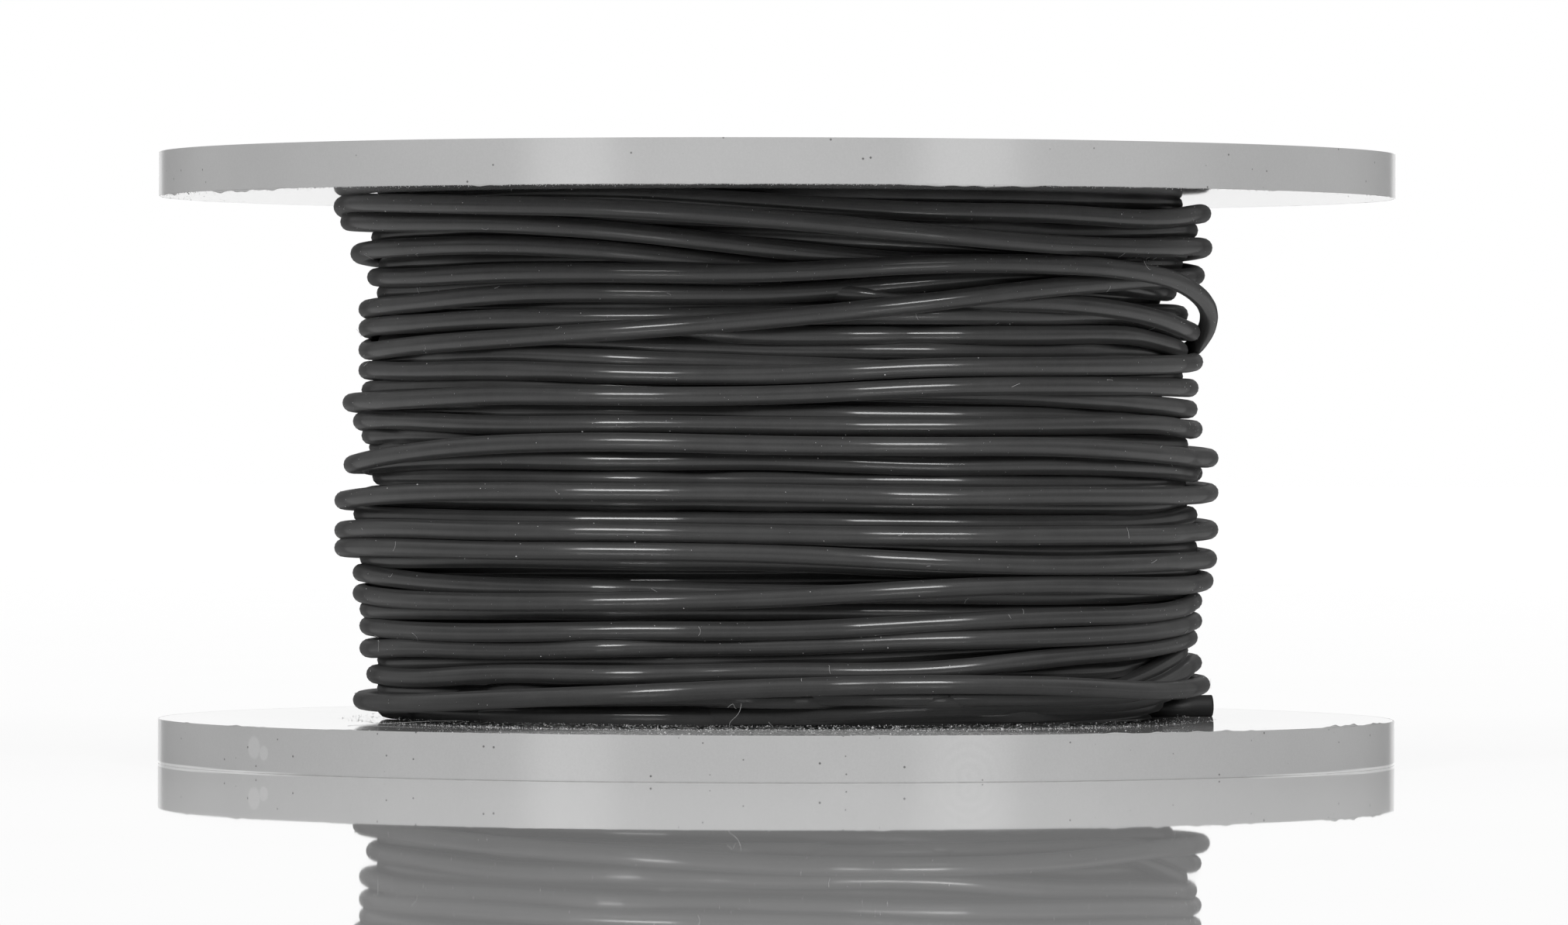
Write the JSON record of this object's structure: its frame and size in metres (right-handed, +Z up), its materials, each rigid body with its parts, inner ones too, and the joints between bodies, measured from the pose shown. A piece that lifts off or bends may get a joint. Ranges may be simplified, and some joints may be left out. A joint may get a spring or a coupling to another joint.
{
  "type": "wire spool",
  "caption": "Small wire spool: two flat round flanges on a barrel with a central bore, wound full of thin insulated wire, both wire ends showing.",
  "frame": {"origin": "middle of the lower flange's outer pad face, on the surface that the spool stands on", "axes": "+Z up along the arbor's bore, -Y towards the front, where the start tail comes out to the right"},
  "size_m": [0.088, 0.088, 0.0434],
  "materials": {
    "flange_plastic": "glossy light grey, flat faces, sawn edge",
    "barrel_plastic": "plain moulded tube",
    "arbor_plastic": "plain moulded tube",
    "wire_jacket": "soft dark jacket with a satin sheen",
    "wire_copper": "bare copper strands, cut square"
  },
  "bodies": {
    "root": {"lower_flange": "flange_plastic", "upper_flange": "flange_plastic", "barrel": "barrel_plastic", "arbor_tube": "arbor_plastic", "wire_inner_layers": "wire_jacket", "wire_outer_turns": "wire_jacket", "wire_start_tail": "wire_jacket", "start_tail_strands": "wire_copper"}
  },
  "joints": []
}
